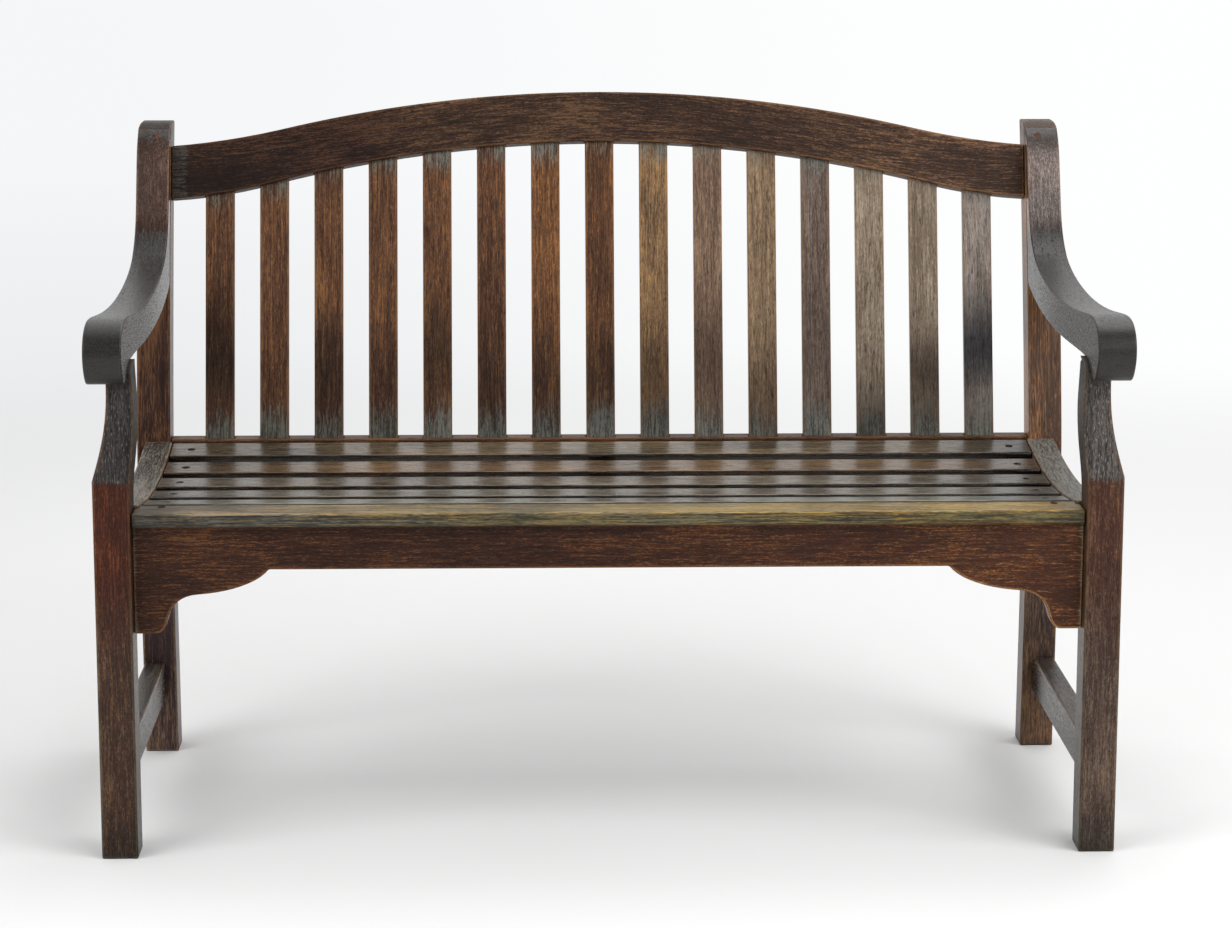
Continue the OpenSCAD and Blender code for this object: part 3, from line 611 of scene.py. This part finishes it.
def rail_ends(t, spot):
    """The top rail's ends, and its right third, which has weathered more."""
    right = t.math("MULTIPLY", t.span(spot.x, 0.10, 0.50), 0.12)
    left = t.math("MULTIPLY", band(t, spot.x, 0.016 - post_in, 0.030 - post_in), 0.70)
    return t.math("ADD", right, left)


def rail_stain(t, spot):
    """The top rail is darkest at its left and lightest at its right."""
    return ((t.span(spot.x, -0.20, -0.34), rgb(0.55, 0.47, 0.48)), (t.span(spot.x, 0.10, 0.45), rgb(1.55, 1.60, 1.60)))


for side in ("left", "right"):
    left = side == "left"
    finish_node("rear_leg_" + side, "post", POST if left else POST_RIGHT, 0.0022, SEAM_EDGES, gloss=0.44, flecks=0.6,
                stretch=0.45, fine=1.3, greying=0.04, grey=SLATE, ends=post_ends, stain=rear_stain)
    finish_node("front_leg_" + side, "up", LEG if left else LEG_RIGHT, 0.0022, LEG_EDGES, gloss=0.44,
                flecks=0.35 if left else 0.5, stretch=1.5, blotches=0.6, fine=1.3, greying=0.03,
                grey=SLATE if left else rgb(0.105, 0.090, 0.080), specks=0.3 if left else 0.6, ends=leg_ends,
                stain=leg_stain)
    finish_node("arm_" + side, "arm", ARM if left else ARM_RIGHT_WITH_SHEEN, 0.0025, ARM_EDGES, gloss=0.28, flecks=0.35,
                specks=0.6, stretch=1.3, fine=1.5, greying=0.08 if left else 0.15, grey=ASH, bump=0.35, shine=0.40,
                polish=0.10, ends=arm_ends, stain=arm_stain, wear=arm_wear)
    finish_node("side_rail_" + side, "back_to_front", RAIL, grey=rgb(0.190, 0.180, 0.155), gloss=0.42, flecks=0.5,
                specks=0.4, stretch=0.7, fine=1.6, bump=0.9, greying=0.40 if left else 0.62)
    finish_node("side_stretcher_" + side, "back_to_front", SMOKE, gloss=0.36, flecks=0.4, greying=0.35)

finish_node("top_rail", "crest", CREST, gloss=0.50, flecks=0.5, stretch=1.5, blotches=0.8, fine=1.4, greying=0.03,
            ends=rail_ends, stain=rail_stain)
finish_node("back_bottom_rail", "across", BROWN, gloss=0.50, flecks=0.5, greying=0.05)
finish_node("front_apron", "across", APRON, gloss=0.50, flecks=0.65, stretch=1.3, blotches=0.5, fine=1.15, greying=0.02,
            ends=apron_ends, stain=apron_stain)
finish_node("seat_nosing", "across", OLIVE, 0.0025, grey=PALE, gloss=0.42, flecks=0.5, stretch=0.5, fine=2.3,
            greying=0.12, shine=0.3, stain=nosing_stain)
seat_greying = [0.50, 0.34, 0.22, 0.08, 0.12]
seat_tints = [rgb(1.33, 1.50, 1.48), rgb(0.90, 0.97, 0.96), rgb(0.90, 0.92, 0.90), rgb(1.04, 0.80, 0.50),
              rgb(1.08, 1.03, 0.86)]
for number, (greying, tint) in enumerate(zip(seat_greying, seat_tints), 1):
    finish_node(f"seat_slat_{number}", "across", SEAT, grey=PALE, gloss=0.27, flecks=0.4, stretch=0.45,
                blotches=0.7, greying=greying, shine=0.5, stain=slat_stain(tint))
for place in ("left", "centre", "right"):
    finish_node("seat_bearer_" + place, "back_to_front", SMOKE, 0.0015, flecks=0.4, greying=0.2)
finish_node("arm_plugs", "back_to_front", RED, 0.0003, gloss=0.4, flecks=0.6, worn=0.0)
for node in ("arm_screws", "seat_screws", "bearer_screws"):
    paint(node, steel())


# ---- Floor, light and camera ----

FLOOR_REACH = 40.0
NEAR_WHITE = rgb(0.99, 0.995, 0.995)


def make_floor():
    """A wide pale floor that runs to the horizon; far off, what the camera sees of it turns to backdrop."""
    mesh = bpy.data.meshes.new("floor")
    corners = [(x * FLOOR_REACH, y * FLOOR_REACH, 0) for x, y in ((-1, -1), (1, -1), (1, 1), (-1, 1))]
    mesh.from_pydata(corners, [], [(0, 1, 2, 3)])
    floor = bpy.data.objects.new("floor", mesh)
    scene.collection.objects.link(floor)
    material, t = new_material("floor_paper")
    place = t.add("ShaderNodeTexCoord").outputs["Object"]
    rays = t.add("ShaderNodeLightPath").outputs
    seen = t.math("MAXIMUM", rays["Is Camera Ray"], rays["Is Glossy Ray"])
    x, y = t.split(place)[:2]
    far = t.span(t.vector("LENGTH", place), 1.5, 4.0)
    # The backdrop carries a painted shade: a little greyer to the left, most of all nearby, but not in front of the
    # bench
    aside = t.math("DIVIDE", x, t.math("MAXIMUM", t.math("ADD", y, 4.4), 1.0))
    left = t.mix(t.span(y, 2.0, 9.0), rgb(0.835, 0.842, 0.85), rgb(0.915, 0.925, 0.935))
    left = t.mix(t.span(y, -1.5, 0.5), NEAR_WHITE, left)
    backdrop = t.mix(t.span(aside, -0.14, 0.16), left, NEAR_WHITE)
    color = t.mix(seen, even(0.80), even(0.912))
    paper = t.add("ShaderNodeBsdfDiffuse", {"Color": color})
    glow = t.add("ShaderNodeEmission", {"Color": backdrop, "Strength": 1.0})
    both = t.add("ShaderNodeMixShader", {0: t.math("MULTIPLY", far, seen), 1: paper.outputs[0], 2: glow.outputs[0]})
    t.add("ShaderNodeOutputMaterial", {"Surface": both.outputs[0]})
    mesh.materials.append(material)


def make_world():
    """Even white round the back and sides, dimmer behind the camera, and a plain level for diffuse light."""
    world = bpy.data.worlds.new("studio")
    scene.world = world
    world.use_nodes = True
    world.node_tree.nodes.clear()
    t = Tree(world.node_tree)
    rays = t.add("ShaderNodeLightPath").outputs
    y = t.split(t.add("ShaderNodeTexCoord").outputs["Generated"])[1]
    mirrored = t.span(y, -0.55, 0.35, 0.07, 1.0)
    level = t.mix(rays["Is Glossy Ray"], even(0.60), mirrored)
    seen = t.math("MAXIMUM", rays["Is Camera Ray"], rays["Is Transmission Ray"])
    color = t.mix(seen, level, rgb(0.96, 0.965, 0.97))
    back = t.add("ShaderNodeBackground", {"Color": color, "Strength": 1.0})
    t.add("ShaderNodeOutputWorld", {"Surface": back.outputs[0]})


def lamp(name, place, target, power, width, height):
    """A white softbox of so many watts, turned to its target."""
    data = bpy.data.lights.new(name, "AREA")
    data.shape = "RECTANGLE"
    data.size, data.size_y = width, height
    data.energy = power
    obj = bpy.data.objects.new(name, data)
    obj.location = place
    obj.rotation_euler = (Vector(target) - Vector(place)).to_track_quat("-Z", "Y").to_euler()
    scene.collection.objects.link(obj)


def make_camera():
    """The viewing angle: far off, a little above the arms, long lens, nearly square on."""
    yaw, pitch, roll = 0.0281, 0.18977, 0.00095
    forward = Vector((math.sin(yaw) * math.cos(pitch), math.cos(yaw) * math.cos(pitch), -math.sin(pitch)))
    side = Vector((math.cos(yaw), -math.sin(yaw), 0.0))
    top = side.cross(forward)
    right = side * math.cos(roll) + top * math.sin(roll)
    up = top * math.cos(roll) - side * math.sin(roll)
    data = bpy.data.cameras.new("camera")
    data.sensor_width = 36.0
    data.lens = 100.25
    data.clip_start, data.clip_end = 0.1, 200.0
    camera = bpy.data.objects.new("camera", data)
    place = Vector((-0.10843, front_face - 4.10027, 1.28407))
    camera.matrix_world = Matrix.Translation(place) @ Matrix((right, up, -forward)).transposed().to_4x4()
    scene.collection.objects.link(camera)
    scene.camera = camera


make_floor()
make_world()
lamp("key", (2.3, -2.6, 3.2), (0.0, 0.0, 0.4), 38, 1.6, 1.6)
lamp("strip", (1.3, -3.7, 1.8), (0.6, 0.0, 0.7), 14, 0.5, 0.7)
lamp("side", (3.0, -1.6, 2.6), (0.0, 0.0, 0.4), 34, 1.6, 1.6)
lamp("fill", (-2.8, -2.2, 2.4), (0.0, 0.0, 0.5), 50, 2.2, 2.2)
lamp("top", (0.5, 0.9, 3.0), (0.0, 0.1, 0.0), 20, 1.8, 1.6)
lamp("back", (0.3, 2.6, 3.0), (0.0, 0.4, 0.0), 9, 2.4, 1.6)
make_camera()
scene.view_settings.view_transform = "Standard"
